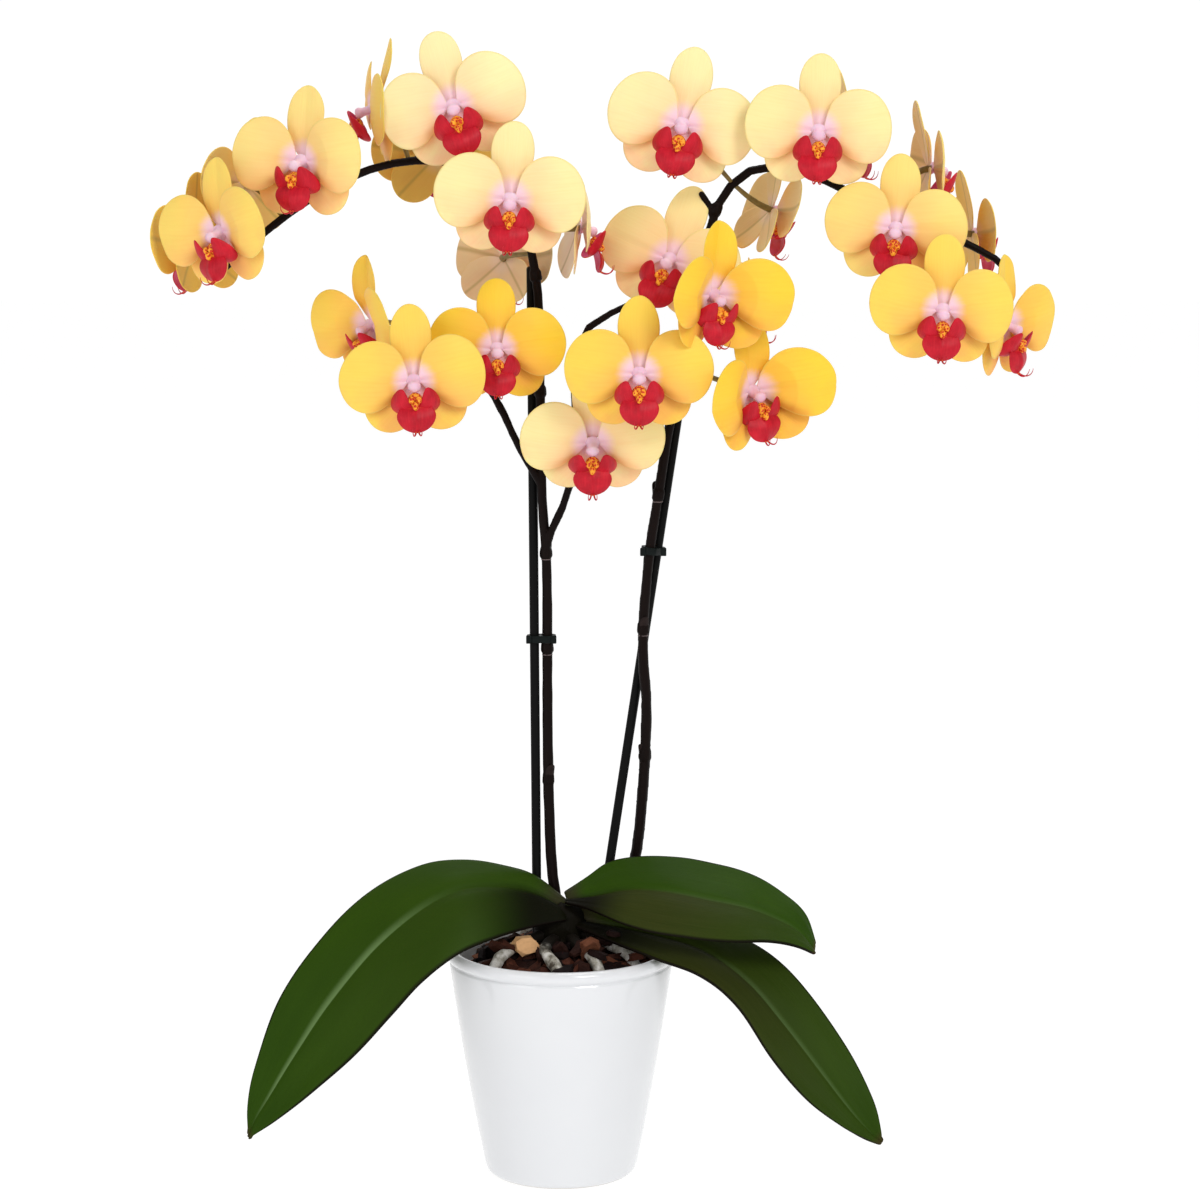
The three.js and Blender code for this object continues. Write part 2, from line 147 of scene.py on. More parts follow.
class Finish:
    def __init__(self, name, roughness=0.5, **constants):
        self.material = bpy.data.materials.new(name)
        self.material.use_nodes = True
        self.tree = self.material.node_tree
        self.shader = self.tree.nodes["Principled BSDF"]
        self.set("Roughness", roughness)
        for socket, value in constants.items():
            self.set(socket.replace("_", " "), value)

    def set(self, socket, value):
        self.link(self.shader.inputs[socket], value)

    def link(self, target, value):
        if isinstance(value, Socket):
            self.tree.links.new(value.output, target)
        elif isinstance(value, (tuple, list)) and len(value) == 3 and target.type == "RGBA":
            target.default_value = (*value, 1)
        else:
            target.default_value = value

    def node(self, kind, settings=None, sockets=None, output=0):
        made = self.tree.nodes.new("ShaderNode" + kind)
        for name, value in (settings or {}).items():
            if name == "stops":
                ramp = made.color_ramp.elements
                while len(ramp) < len(value):
                    ramp.new(0.5)
                for element, (place, colour) in zip(ramp, value):
                    element.position = place
                    element.color = (*colour, 1)
            else:
                setattr(made, name, value)
        for name, value in (sockets or {}).items():
            self.link(made.inputs[name], value)
        return Socket(self, made.outputs[output])

    def ramp(self, value, *stops):
        return self.node("ValToRGB", {"stops": stops}, {0: value})

    def mix(self, factor, first, second, blend="MIX"):
        settings = {"data_type": "RGBA", "blend_type": blend, "clamp_factor": True}
        return self.node("Mix", settings, {0: factor, 6: first, 7: second}, output=2)

    def steps(self, value, low, high):
        """0 below low, 1 above high, and a smooth rise between them."""
        settings = {"interpolation_type": "SMOOTHSTEP"}
        sockets = {"Value": value, "From Min": low, "From Max": high}
        return self.node("MapRange", settings, sockets)

    def noise(self, place, scale, detail=4.0, roughness=0.55):
        sockets = {"Vector": place, "Scale": scale, "Detail": detail, "Roughness": roughness}
        return self.node("TexNoise", {}, sockets)

    def grain(self, along, across, detail=3):
        """Noise over the piece's own map, drawn out by what multiplies each way."""
        return self.noise(self.node("CombineXYZ", {}, {0: along, 1: across}), 1, detail)

    def place(self):
        return self.node("TexCoord", output="Object")

    def uv(self):
        """The piece's own map, as its two numbers."""
        split = self.node("SeparateXYZ", {}, {0: self.node("UVMap")})
        across = Socket(self, split.output.node.outputs[1])
        return split, across

    def stretched(self, place, scale):
        return self.node("Mapping", {}, {"Vector": place, "Scale": scale})

    def own(self, attribute):
        """A number that the mesh carries."""
        return self.node("Attribute", {"attribute_name": attribute}, output=2)

    def bump(self, height, distance, strength=1.0):
        sockets = {"Height": height, "Distance": distance, "Strength": strength}
        self.set("Normal", self.node("Bump", {}, sockets))


floor_finish = Finish("floor_white", 0.8, Emission_Strength=0.86)
floor_finish.set("Base Color", (0.2, 0.2, 0.2))
floor_finish.set("Emission Color", (1, 1, 1))
floor.data.materials.append(floor_finish.material)


def declare(piece, slot, *nodes):
    """Every piece rides on the one body and stands for its CAD nodes. The slot is not used."""
    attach(piece, "root")
    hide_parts(*nodes)


# ----------------------------------------
# Pot: one slip-cast stoneware cover pot under white glaze. The wall tapers and swells a little,
# with a fine groove below a rolled rim. The foot is wiped clean of glaze.
# ----------------------------------------
pot_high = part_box("pot")[1]
POT_HEIGHT = pot_high.z
RIM_RADIUS = pot_high.x
BODY_TOP = POT_HEIGHT - 9 * MM
BODY_TOP_RADIUS = RIM_RADIUS - 1.7 * MM
BASE_RADIUS = 42 * MM
BODY_SWELL = 1.1 * MM
WALL = 5 * MM
POT_FLOOR = 7 * MM
BASE_CORNER = 5 * MM
RIM_BEAD = 3.4 * MM
INNER_CORNER = 5 * MM
POT_STEPS = 144


def body_radius(z):
    share = z / BODY_TOP
    taper = (BODY_TOP_RADIUS - BASE_RADIUS) * share
    return BASE_RADIUS + taper + BODY_SWELL * math.sin(math.pi * share)


def arc(centre, radius, start, end, steps):
    """Points of an arc in the profile's plane, angles in degrees from outwards to up."""
    angles = [math.radians(start + (end - start) * i / steps) for i in range(steps + 1)]
    return [(centre[0] + radius * math.cos(a), centre[1] + radius * math.sin(a)) for a in angles]


def pick(piece):
    bpy.ops.object.select_all(action="DESELECT")
    piece.select_set(True)
    bpy.context.view_layer.objects.active = piece


def add_object(mesh, name):
    piece = bpy.data.objects.new(name, mesh)
    bpy.context.collection.objects.link(piece)
    return piece


def smooth_faces(piece, angle=50):
    """Shades the piece smooth except where two faces meet more sharply than the angle."""
    pick(piece)
    bpy.ops.object.shade_smooth_by_angle(angle=math.radians(angle))


def spun(name, profile, steps):
    """A closed turned shape from a profile that starts and ends on the axis."""
    mesh = bpy.data.meshes.new(name)
    points = [(r, 0, z) for r, z in profile]
    mesh.from_pydata(points, [(i, i + 1) for i in range(len(points) - 1)], [])
    piece = add_object(mesh, name)
    pick(piece)
    bpy.ops.object.mode_set(mode="EDIT")
    bpy.ops.mesh.select_all(action="SELECT")
    bpy.ops.mesh.spin(steps=steps, angle=2 * math.pi, center=(0, 0, 0), axis=(0, 0, 1))
    bpy.ops.mesh.select_all(action="SELECT")
    bpy.ops.mesh.remove_doubles(threshold=0.01 * MM)
    bpy.ops.mesh.normals_make_consistent(inside=False)
    bpy.ops.object.mode_set(mode="OBJECT")
    smooth_faces(piece)
    return piece


outer_wall = [(body_radius(z * MM), z * MM) for z in range(6, 122, 5)]
inner_wall = [(r - WALL, z) for r, z in reversed(outer_wall[1:])]
rim_middle = (RIM_RADIUS - RIM_BEAD, POT_HEIGHT - RIM_BEAD)
groove = [
    (BODY_TOP_RADIUS - 0.1 * MM, BODY_TOP + 0.6 * MM),
    (BODY_TOP_RADIUS - 0.7 * MM, BODY_TOP + 1.2 * MM),
    (BODY_TOP_RADIUS - 0.7 * MM, BODY_TOP + 1.6 * MM),
    (BODY_TOP_RADIUS - 0.1 * MM, BODY_TOP + 2.3 * MM),
    (RIM_RADIUS - 0.8 * MM, BODY_TOP + 3.1 * MM),
    (RIM_RADIUS - 0.2 * MM, BODY_TOP + 4.4 * MM),
]
foot_corner = arc((BASE_RADIUS - BASE_CORNER + 0.6 * MM, BASE_CORNER), BASE_CORNER, -90, -8, 8)
pot = spun(
    "pot_glazed",
    [(0, 0)]
    + foot_corner
    + outer_wall
    + groove
    + arc(rim_middle, RIM_BEAD, 0, 170, 16)
    + inner_wall
    + arc((BASE_RADIUS - WALL - 6 * MM, POT_FLOOR + INNER_CORNER), INNER_CORNER, 0, -90, 6)
    + [(0, POT_FLOOR)],
    POT_STEPS,
)

glaze = Finish("white_glaze", 0.12, Coat_Weight=0.35, Coat_Roughness=0.05, IOR=1.52)
place = glaze.place()
height = glaze.node("SeparateXYZ", {}, {0: place}, output=2)
pooled = glaze.noise(place, 18, 3)
glazed = glaze.steps(height, 0.5 * MM, 1.6 * MM)
white = glaze.mix(pooled, (0.74, 0.75, 0.775), (0.79, 0.80, 0.815))
glaze.set("Base Color", glaze.mix(glazed, (0.58, 0.55, 0.50), white))
glaze.set("Roughness", 0.75 - 0.64 * glazed + 0.05 * pooled)
glaze.bump(glaze.noise(place, 260, 2) + 4 * glaze.noise(place, 34, 2), 0.05 * MM, 0.35)
pot.data.materials.append(glaze.material)
declare(pot, "glaze", "pot")

# ----------------------------------------
# Bark: chipped fir bark. A dark fine fill rises to the crown, and loose flat chips lie over it.
# The chips are cut from a few rough blocks, turned and sized at random, each with its own tone,
# and painted shade darkens those near the crown, under the leaves.
# ----------------------------------------
CHIP_COUNT = 210
CHIP_FIELD = 55.3 * MM  # the pot's bore at the top of the bark
CHIP_GROUPS = 4
CHIP_LENGTHS = (9 * MM, 19 * MM)
CHIP_DROP = 0.16  # each chip is let down onto the ground from this height
GROUND_LIMITS = (0.112, 0.1385)  # lower lies outside the bed, higher is a stake or the crown
ROOT_SPREAD = 46 * MM
STEEP_REACH = 45 * MM  # beyond it the chips lie flatter
SHADE_REACH = 40 * MM
GOLDEN_ANGLE = math.radians(137.5)
PALE_CHIP = {"at": (-19, -22), "size": (15, 11, 5), "turn": (1.25, 0.35, 0.3), "lift": 9}


def joined(name, pieces):
    pick(pieces[0])
    for piece in pieces[1:]:
        piece.select_set(True)
    if len(pieces) > 1:
        bpy.ops.object.join()
    pieces[0].name = name
    return pieces[0]


def set_finishes(piece, *finishes):
    """The piece's materials, kept in the order of its faces' numbers."""
    indices = [min(face.material_index, len(finishes) - 1) for face in piece.data.polygons]
    piece.data.materials.clear()
    for finish in finishes:
        piece.data.materials.append(finish.material)
    piece.data.polygons.foreach_set("material_index", indices)


def set_tone(piece, attribute, tone):
    values = piece.data.attributes.new(attribute, "FLOAT", "POINT")
    values.data.foreach_set("value", [tone] * len(piece.data.vertices))


def cad_copy(node, name):
    """A piece with a CAD node's shape, its loose triangles welded together."""
    piece = add_object(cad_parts[node].data.copy(), name)
    piece.data.materials.clear()
    pick(piece)
    bpy.ops.object.mode_set(mode="EDIT")
    bpy.ops.mesh.select_all(action="SELECT")
    bpy.ops.mesh.remove_doubles(threshold=0.01 * MM)
    bpy.ops.object.mode_set(mode="OBJECT")
    return piece


def rough_block(rng):
    """A flat splintered block: a divided cube whose corners are pulled in and knocked about."""
    block = added(bpy.ops.mesh.primitive_cube_add, size=1)
    bpy.ops.object.mode_set(mode="EDIT")
    bpy.ops.mesh.subdivide(number_cuts=1)
    bpy.ops.object.mode_set(mode="OBJECT")
    for vertex in block.data.vertices:
        x, y, z = vertex.co
        inward = 0.74 if abs(x) + abs(y) > 0.9 else 1
        vertex.co = (
            x * inward + rng.uniform(-0.1, 0.1),
            y * inward + rng.uniform(-0.12, 0.12),
            z + rng.uniform(-0.2, 0.2),
        )
    return block


rng = random.Random(11)
blocks = [rough_block(rng) for _ in range(5)]
bark_fill = cad_copy("bark_bed", "bark_fill")
ROOT_NODES = ["root_1", "root_2", "root_3", "root_4", "root_5", "root_6"]


def surfaces(meshes):
    """Each mesh as a tree that a ray can be cast onto."""
    return [
        BVHTree.FromPolygons([v.co for v in mesh.vertices], [p.vertices for p in mesh.polygons])
        for mesh in meshes
    ]


bed_tops = surfaces([bark_fill.data])
root_tops = surfaces(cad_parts[node].data for node in ROOT_NODES)


def lay_chip(at, size, turn, lift, tone, grounds=bed_tops):
    """One chip on the ground at (x, y), or nothing where a stake or the crown stands."""
    start, down = Vector((*at, CHIP_DROP)), Vector((0, 0, -1))
    hits = [ground.ray_cast(start, down)[0] for ground in grounds]
    ground = max((hit for hit in hits if hit), key=lambda hit: hit.z, default=None)
    if ground is None or not GROUND_LIMITS[0] < ground.z < GROUND_LIMITS[1]:
        return []
    chip = add_object(rng.choice(blocks).data.copy(), "chip")
    turned = Euler(turn).to_matrix()
    chip.data.transform(Matrix.LocRotScale(ground + Vector((0, 0, lift)), turned, Vector(size)))
    set_tone(chip, "tone", tone)
    return [chip]


chips = [[] for _ in range(CHIP_GROUPS)]
for i in range(CHIP_COUNT):
    length = rng.uniform(*CHIP_LENGTHS)
    size = (length, length * rng.uniform(0.45, 0.75), rng.uniform(2.4, 4.6) * MM)
    reach = (CHIP_FIELD - 0.52 * length) * math.sqrt((i + 0.5) / CHIP_COUNT)
    angle = i * GOLDEN_ANGLE + rng.uniform(-0.25, 0.25)
    tilt = 0.5 if reach < STEEP_REACH else 0.25
    turn = (rng.gauss(0, tilt), rng.gauss(0, tilt), rng.uniform(0, 2 * math.pi))
    at = (reach * math.cos(angle), reach * math.sin(angle))
    unshaded_share = 0.35 + 0.65 * min(1, reach / SHADE_REACH)  # painted shade: darker round the crown, under the leaves
    tone = rng.random() ** 1.6 * unshaded_share
    over_roots = i % 3 == 0 and reach < ROOT_SPREAD  # a third of the chips lie across the roots
    grounds = bed_tops + root_tops if over_roots else bed_tops
    chips[i % CHIP_GROUPS] += lay_chip(at, size, turn, rng.uniform(-0.6, 1.4) * MM, tone, grounds)
pale_at, pale_size = ([v * MM for v in PALE_CHIP[key]] for key in ("at", "size"))
chips[0] += lay_chip(pale_at, pale_size, PALE_CHIP["turn"], PALE_CHIP["lift"] * MM, 1.6)

bark_finish = Finish("bark_chip", 0.8, Specular_IOR_Level=0.15)
place = bark_finish.place()
tone = bark_finish.own("tone")
fibre = bark_finish.noise(bark_finish.stretched(place, (1, 1, 2.5)), 260, 4, 0.65)
flake = bark_finish.noise(place, 90, 3)
shade = bark_finish.ramp(
    tone * 0.5 + 0.16 * (flake - 0.5),
    (0.0, (0.006, 0.002, 0.002)),
    (0.16, (0.026, 0.008, 0.005)),
    (0.38, (0.10, 0.030, 0.016)),
    (0.52, (0.20, 0.075, 0.035)),
    (0.8, (0.85, 0.50, 0.24)),
)
fibrous = bark_finish.mix((fibre - 0.3) * 0.8, shade, (0.5, 0.4, 0.35), "MULTIPLY")
bark_finish.set("Base Color", fibrous)
bark_finish.set("Roughness", 0.62 + 0.3 * fibre)
bark_finish.bump(fibre + 0.8 * flake, 0.7 * MM, 0.9)
for i, group in enumerate(chips):
    pile = joined(f"bark_chips_{i + 1}", group)
    smooth_faces(pile, 28)
    set_finishes(pile, bark_finish)
    declare(pile, "bark", "bark_bed")
for block in blocks:
    bpy.data.objects.remove(block)

fill_finish = Finish("bark_fines", 0.95, Specular_IOR_Level=0.05)
place = fill_finish.place()
crumb = fill_finish.noise(place, 420, 4, 0.7)
fill_finish.set("Base Color", fill_finish.mix(crumb, (0.004, 0.002, 0.002), (0.03, 0.014, 0.009)))
fill_finish.bump(crumb, 1.2 * MM, 1.0)
set_finishes(bark_fill, fill_finish)
smooth_faces(bark_fill, 40)
declare(bark_fill, "bark", "bark_bed")

# ----------------------------------------
# Roots and crown: fat silvery aerial roots, painted near-black brown as shade where they leave
# the plant under the leaves, and the short stem that the bases of past leaves wrap like a
# chevron, painted near black as shade.
# ----------------------------------------
SHEATH_PITCH = 8.5 * MM
CROWN_WIDTH = 11 * MM
SHEATH_SWELL = 2.6


def apply_modifier(piece, kind, **settings):
    pick(piece)
    modifier = piece.modifiers.new(kind.lower(), kind)
    for name, value in settings.items():
        setattr(modifier, name, value)
    bpy.ops.object.modifier_apply(modifier=modifier.name)


def swell(piece, amount):
    """Moves each vertex along its normal by what amount gives for its place."""
    shifts = [vertex.normal * amount(vertex.co) for vertex in piece.data.vertices]
    for vertex, shift in zip(piece.data.vertices, shifts):
        vertex.co += shift
    piece.data.update()


def grown(node, name, voxel, amount):
    """A CAD node with its facets grown over: remeshed fine, smoothed, then swollen and lumpy."""
    piece = cad_copy(node, name)
    apply_modifier(piece, "REMESH", mode="VOXEL", voxel_size=voxel)
    apply_modifier(piece, "SMOOTH", factor=0.5, iterations=7)
    swell(piece, amount)
    pick(piece)
    bpy.ops.object.shade_smooth()
    return piece


def root_lumps(at):
    return (0.35 + 0.8 * noise.noise(at * 110) + 0.3 * noise.noise(at * 420)) * MM


velamen = Finish("root_velamen", 0.75, Specular_IOR_Level=0.15)
place = velamen.place()
strand = velamen.noise(place, 150, 4, 0.6)
speck = velamen.noise(place, 620, 2)
flat = velamen.node("VectorMath", {"operation": "MULTIPLY"}, {0: place, 1: (1, 1, 0)})
reach = velamen.node("VectorMath", {"operation": "LENGTH"}, {0: flat}, output=1)
# Painted shade: from about 37 mm in towards the axis, under the leaves, the roots go from silver to
# near-black brown.
outside_root_shade = velamen.steps(reach + 0.02 * (strand - 0.5), 24 * MM, 37 * MM)
silver = velamen.ramp(
    strand, (0.34, (0.07, 0.055, 0.04)), (0.46, (0.32, 0.30, 0.25)), (0.62, (0.66, 0.64, 0.60))
)
velamen.set("Base Color", velamen.mix(outside_root_shade, (0.006, 0.004, 0.002), silver))
velamen.set("Roughness", 0.65 + 0.2 * speck)
velamen.bump(strand + 0.5 * speck, 0.4 * MM, 0.8)
for node in ROOT_NODES:
    root = grown(node, "aerial_" + node, 0.7 * MM, root_lumps)
    set_finishes(root, velamen)
    declare(root, "root_skin", node)


def sheath_steps(at):
    """Each sheath stands proud of the one above it, and its edge drops away from the middle."""
    drop = abs(at.x) / CROWN_WIDTH
    step = ((at.z / SHEATH_PITCH + 0.9 * drop) % 1) ** 2
    return (SHEATH_SWELL + 0.9 * step + 0.25 * noise.noise(at * 160)) * MM


sheath = Finish("leaf_sheath", 0.6, Specular_IOR_Level=0.05)
place = sheath.place()
rib = sheath.noise(sheath.stretched(place, (1, 1, 0.15)), 900, 2)
mottle = sheath.noise(place, 130, 3)
# Painted shade: the sheaths are coloured near black, as the shade under the leaf bases.
olive = sheath.mix(mottle, (0.002, 0.002, 0.001), (0.007, 0.007, 0.003))
sheath.set("Base Color", sheath.mix(rib * 0.5, olive, (0.010, 0.006, 0.004)))
sheath.bump(rib, 0.3 * MM, 0.6)
crown = grown("crown", "crown_sheaths", 0.8 * MM, sheath_steps)
set_finishes(crown, sheath)
declare(crown, "sheath", "crown")

# ----------------------------------------
# Leaves: three thick, leathery straps that arch out of the crown and hang, each folded along its
# midrib. They are glossy dark green with a fine lengthwise grain and a dark purple margin.
# ----------------------------------------
LEAF_THICKNESS = 2.1 * MM
FRONT, BACK = 0, 1
BLANKS = [bpy.data.materials.new(name) for name in ("blank_front", "blank_back")]
# Each leaf runs between its back edge, its midrib and its front edge (mm, from crown to tip).
LEAF_LINES = {
    "leaf_left": (
        [(5, 4, 155), (-14, 4, 170), (-31, 2, 176), (-53, 0, 180), (-78, -6, 179), (-107, -18, 166),
         (-133, -32, 143), (-155, -44, 113), (-169, -56, 76), (-173, -62, 55), (-172, -66, 41)],
        [(4, -4, 154), (-15, -8, 165), (-34, -18, 170), (-56, -27, 170), (-78, -34, 160),
         (-103, -44, 140), (-127, -52, 112), (-146, -58, 84), (-161, -64, 60), (-169, -66, 47),
         (-172, -67, 38)],
        [(4, -12, 148), (-15, -23, 146), (-36, -40, 144), (-56, -51, 138), (-76, -60, 124),
         (-92, -65, 107), (-114, -69, 84), (-136, -71, 65), (-155, -71, 50), (-167, -69, 41),
         (-172, -67, 37)],
    ),
    "leaf_right_upper": (
        [(1, 6, 160), (14, 5, 169), (28, 5, 178), (50, 5, 181), (75, 3, 180), (103, -3, 174),
         (126, -12, 163), (137, -22, 154), (142, -34, 140)],
        [(2, -2, 159), (19, -9, 163), (36, -17, 168), (56, -24, 169), (78, -30, 166),
         (101, -34, 162), (121, -36, 155), (134, -38, 147), (142, -39, 137)],
        [(2, -8, 157), (14, -16, 156), (32, -34, 152), (54, -45, 148), (76, -51, 146),
         (96, -54, 146), (114, -54, 146), (130, -49, 142), (142, -41, 136)],
    ),
    "leaf_right_lower": (
        [(4, 4, 155), (32, 2, 156), (64, 0, 150), (92, -8, 142), (117, -24, 132), (139, -40, 113),
         (159, -54, 86), (172, -66, 61), (176, -72, 48), (177, -75, 40)],
        [(9, -4, 148), (32, -12, 146), (58, -21, 142), (82, -32, 136), (104, -44, 122),
         (123, -54, 101), (143, -64, 76), (159, -71, 56), (169, -74, 45), (177, -76, 38)],
        [(8, -10, 145), (28, -26, 140), (52, -40, 133), (76, -52, 127), (98, -61, 111),
         (116, -68, 84), (135, -74, 62), (154, -77, 48), (167, -77, 41), (176, -76, 37)],
    ),
}


def blade(name, rows, columns, place, thickness, rounded=True):
    """A thin curved sheet with its own map: rows run along it, columns across. A rounded blade's
    square grid is drawn into a disc first, so that its outline has no corners and no pole."""
    grid = {"x_subdivisions": rows, "y_subdivisions": columns}
    piece = added(bpy.ops.mesh.primitive_grid_add, size=2, **grid)
    piece.name = name
    layer = piece.data.uv_layers.active.data
    spots = []
    for vertex in piece.data.vertices:
        along, across = vertex.co.x, vertex.co.y
        if rounded:
            along, across = (
                along * math.sqrt(1 - across * across / 2),
                across * math.sqrt(1 - along * along / 2),
            )
        spots.append(((1 + along) / 2, across))
        vertex.co = place(*spots[-1])
    for loop in piece.data.loops:
        along, across = spots[loop.vertex_index]
        layer[loop.index].uv = (along, (1 + across) / 2)
    for blank in BLANKS:
        piece.data.materials.append(blank)
    sides = {"material_offset": BACK, "material_offset_rim": FRONT}
    apply_modifier(piece, "SOLIDIFY", thickness=thickness, offset=-1, **sides)
    apply_modifier(piece, "SUBSURF", levels=1, render_levels=1)
    bpy.ops.object.shade_smooth()
    return piece


def smooth_line(points):
    """A smooth line through points in millimetres, as a function of the share of its length."""
    knots = [Vector(point) * MM for point in points]
    knots = [2 * knots[0] - knots[1], *knots, 2 * knots[-1] - knots[-2]]
    dense = []
    for before, start, end, after in zip(knots, knots[1:], knots[2:], knots[3:]):
        handles = start + (end - before) / 6, end - (after - start) / 6
        dense += interpolate_bezier(start, *handles, end, 16)[:-1]
    dense.append(knots[-2])
    lengths = [0]
    for first, second in zip(dense, dense[1:]):
        lengths.append(lengths[-1] + (second - first).length)

    def at(share):
        target = share * lengths[-1]
        i = min(max(bisect.bisect_left(lengths, target), 1), len(lengths) - 1)
        part = (target - lengths[i - 1]) / (lengths[i] - lengths[i - 1])
        return dense[i - 1].lerp(dense[i], part)

    return at


def leaf(name, lines, seed):
    """A leaf blade whose upper face looks up, whichever way the leaf points."""
    back, middle, front = (smooth_line(line) for line in lines)
    side = -1 if lines[0][-1][0] > 0 else 1

    def place(along, across):
        t = (1 + side * across) / 2
        b, m, f = back(along), middle(along), front(along)
        at = b * (1 - t) * (1 - 2 * t) + m * 4 * t * (1 - t) + f * t * (2 * t - 1)
        tangent = middle(min(1, along + 0.02)) - middle(max(0, along - 0.02))
        up = side * tangent.cross(f - b).normalized()
        groove = 1.3 * math.exp(-((across / 0.055) ** 2)) + 2.4 * math.exp(-abs(across) / 0.3)
        wave = 1.5 * noise.noise(Vector((5 * along, 1.2 * across, seed))) * across * across
        ripple = 0.35 * noise.noise(Vector((9 * along, 4 * across, seed + 5)))
        return at + up * (wave + ripple - groove * (1 - 0.7 * along)) * MM

    return blade(name, 60, 26, place, LEAF_THICKNESS, rounded=False)


# How each leaf differs: how bronze its back half is, how bronze its front half is with painted
# sheen, and how strong the painted highlight behind its midrib is.
LEAF_TINTS = {
    "leaf_left": (0.15, 0.25, 0.85),
    "leaf_right_upper": (0.1, 0.8, 0.12),
    "leaf_right_lower": (0.55, 0.85, 0.3),
}


def leaf_top(finish, points_left, back_bronze, front_bronze_and_sheen, rib_highlight):
    """Deep green, with a bronze tint and, on the front half, a painted sheen that turns it
    olive-grey towards the base. A painted highlight runs behind the midrib, painted shade goes
    almost black on the front half near the base, and the sheath end is brown.
    """
    along, across = finish.uv()
    frontness = across if points_left else 1 - across
    grain = finish.grain(along * 3, across * 60)
    patch = finish.grain(along * 3, across * 2, 2)
    green = finish.mix(patch, (0.014, 0.046, 0.001), (0.036, 0.088, 0.003))
    green = finish.mix(grain * 0.6, green, (0.016, 0.044, 0.002))
    # The leaf's own bronze tint, and on the front half a painted sheen: the olive-grey of light
    # reflected off the folded front half, fading towards the tip.
    bronze_and_sheen = finish.mix(grain, (0.018, 0.021, 0.003), (0.048, 0.048, 0.012))
    in_front = finish.steps(frontness, 0.47, 0.53)
    fading = 1 - finish.steps(along, 0.35, 1.0) * 0.7
    tint = (back_bronze + (front_bronze_and_sheen - back_bronze) * in_front) * fading
    colour = finish.mix(tint, green, bronze_and_sheen)
    # Painted highlight: a pale band along the back side of the midrib, from the middle of the leaf
    # to near its tip.
    behind_rib = finish.steps(frontness, 0.43, 0.5) * (1 - finish.steps(frontness, 0.5, 0.512))
    sheen = behind_rib * finish.steps(along, 0.25, 0.55) * (1 - finish.steps(along, 0.85, 1))
    colour = finish.mix(sheen * rib_highlight, colour, (0.13, 0.21, 0.075))
    # Painted shade: near the base the front half goes almost black, as the shade under the leaf
    # bases.
    shade = (1 - finish.steps(along, 0.08, 0.3)) * finish.steps(frontness, 0.4, 0.62)
    colour = finish.mix(shade * 0.95, colour, (0.003, 0.002, 0.001))
    sheath_end = (1 - finish.steps(along, 0.02, 0.09)) * (1 - in_front)
    return finish.mix(sheath_end * 0.7, colour, (0.035, 0.022, 0.016))


def leaf_under(finish):
    """Duller, greyer green, streaked with purple."""
    along, across = finish.uv()
    grain = finish.grain(along * 3, across * 46)
    colour = finish.mix(grain, (0.035, 0.045, 0.016), (0.07, 0.09, 0.03))
    return finish.mix(finish.steps(grain, 0.45, 0.75) * 0.6, colour, (0.06, 0.024, 0.024))


def leaf_finish(finish, colour):
    """Adds the dark margin, the dry tip and the fine lengthwise grain."""
    along, across = finish.uv()
    grain = finish.grain(along * 3, across * 60)
    off_middle = finish.node("Math", {"operation": "ABSOLUTE"}, {0: across - 0.5})
    margin = finish.steps(off_middle + 0.02 * (grain - 0.5), 0.465, 0.492)
    colour = finish.mix(margin * 0.95, colour, (0.005, 0.003, 0.002))
    tip = finish.steps(along, 0.97, 1.0) * 0.7
    finish.set("Base Color", finish.mix(tip, colour, (0.06, 0.03, 0.015)))
    finish.set("Roughness", 0.38 + 0.2 * grain)
    finish.bump(grain + 0.35 * finish.noise(finish.place(), 300, 2), 0.25 * MM, 0.5)


for seed, (node, lines) in enumerate(LEAF_LINES.items()):
    top = Finish(node + "_top", 0.4, Specular_IOR_Level=0.05)
    under = Finish(node + "_under", 0.5, Specular_IOR_Level=0.1)
    leaf_finish(top, leaf_top(top, node == "leaf_left", *LEAF_TINTS[node]))
    leaf_finish(under, leaf_under(under))
    piece = leaf("blade_" + node, lines, seed)
    set_finishes(piece, top, under)
    declare(piece, "leaf_green", node)

# ----------------------------------------
# Stakes: smooth rods of black plastic with a blunt rounded end, pushed into the bark.
# ----------------------------------------
STAKE_RADIUS = 2.6 * MM
STAKE_CAP = 1.6 * MM

stake_plastic = Finish("stake_plastic", 0.38, Specular_IOR_Level=0.06)
scuff = stake_plastic.noise(stake_plastic.stretched(stake_plastic.place(), (1, 1, 0.06)), 700, 3)
near_black = stake_plastic.mix(scuff, (0.002, 0.002, 0.002), (0.007, 0.007, 0.007))
stake_plastic.set("Base Color", near_black)
stake_plastic.set("Roughness", 0.26 + 0.28 * scuff)
stake_plastic.bump(scuff, 0.08 * MM, 0.5)
for node in ("stake_left", "stake_right"):
    corners = [v.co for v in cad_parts[node].data.vertices]
    ends = []
    for z in (min(c.z for c in corners), max(c.z for c in corners)):
        cap = [c for c in corners if abs(c.z - z) < STAKE_RADIUS]
        ends.append(sum(cap, Vector()) / len(cap))
    way = ends[1] - ends[0]
    shoulder = way.length - STAKE_CAP
    dome = arc((STAKE_RADIUS - STAKE_CAP, shoulder), STAKE_CAP, 0, 90, 6)
    stake = spun("rod_" + node, [(0, 0), (STAKE_RADIUS, 0), *dome, (0, way.length)], 24)
    upright = Vector((0, 0, 1)).rotation_difference(way).to_matrix().to_4x4()
    stake.data.transform(Matrix.Translation(ends[0]) @ upright)
    set_finishes(stake, stake_plastic)
    declare(stake, "stake_dark", node)

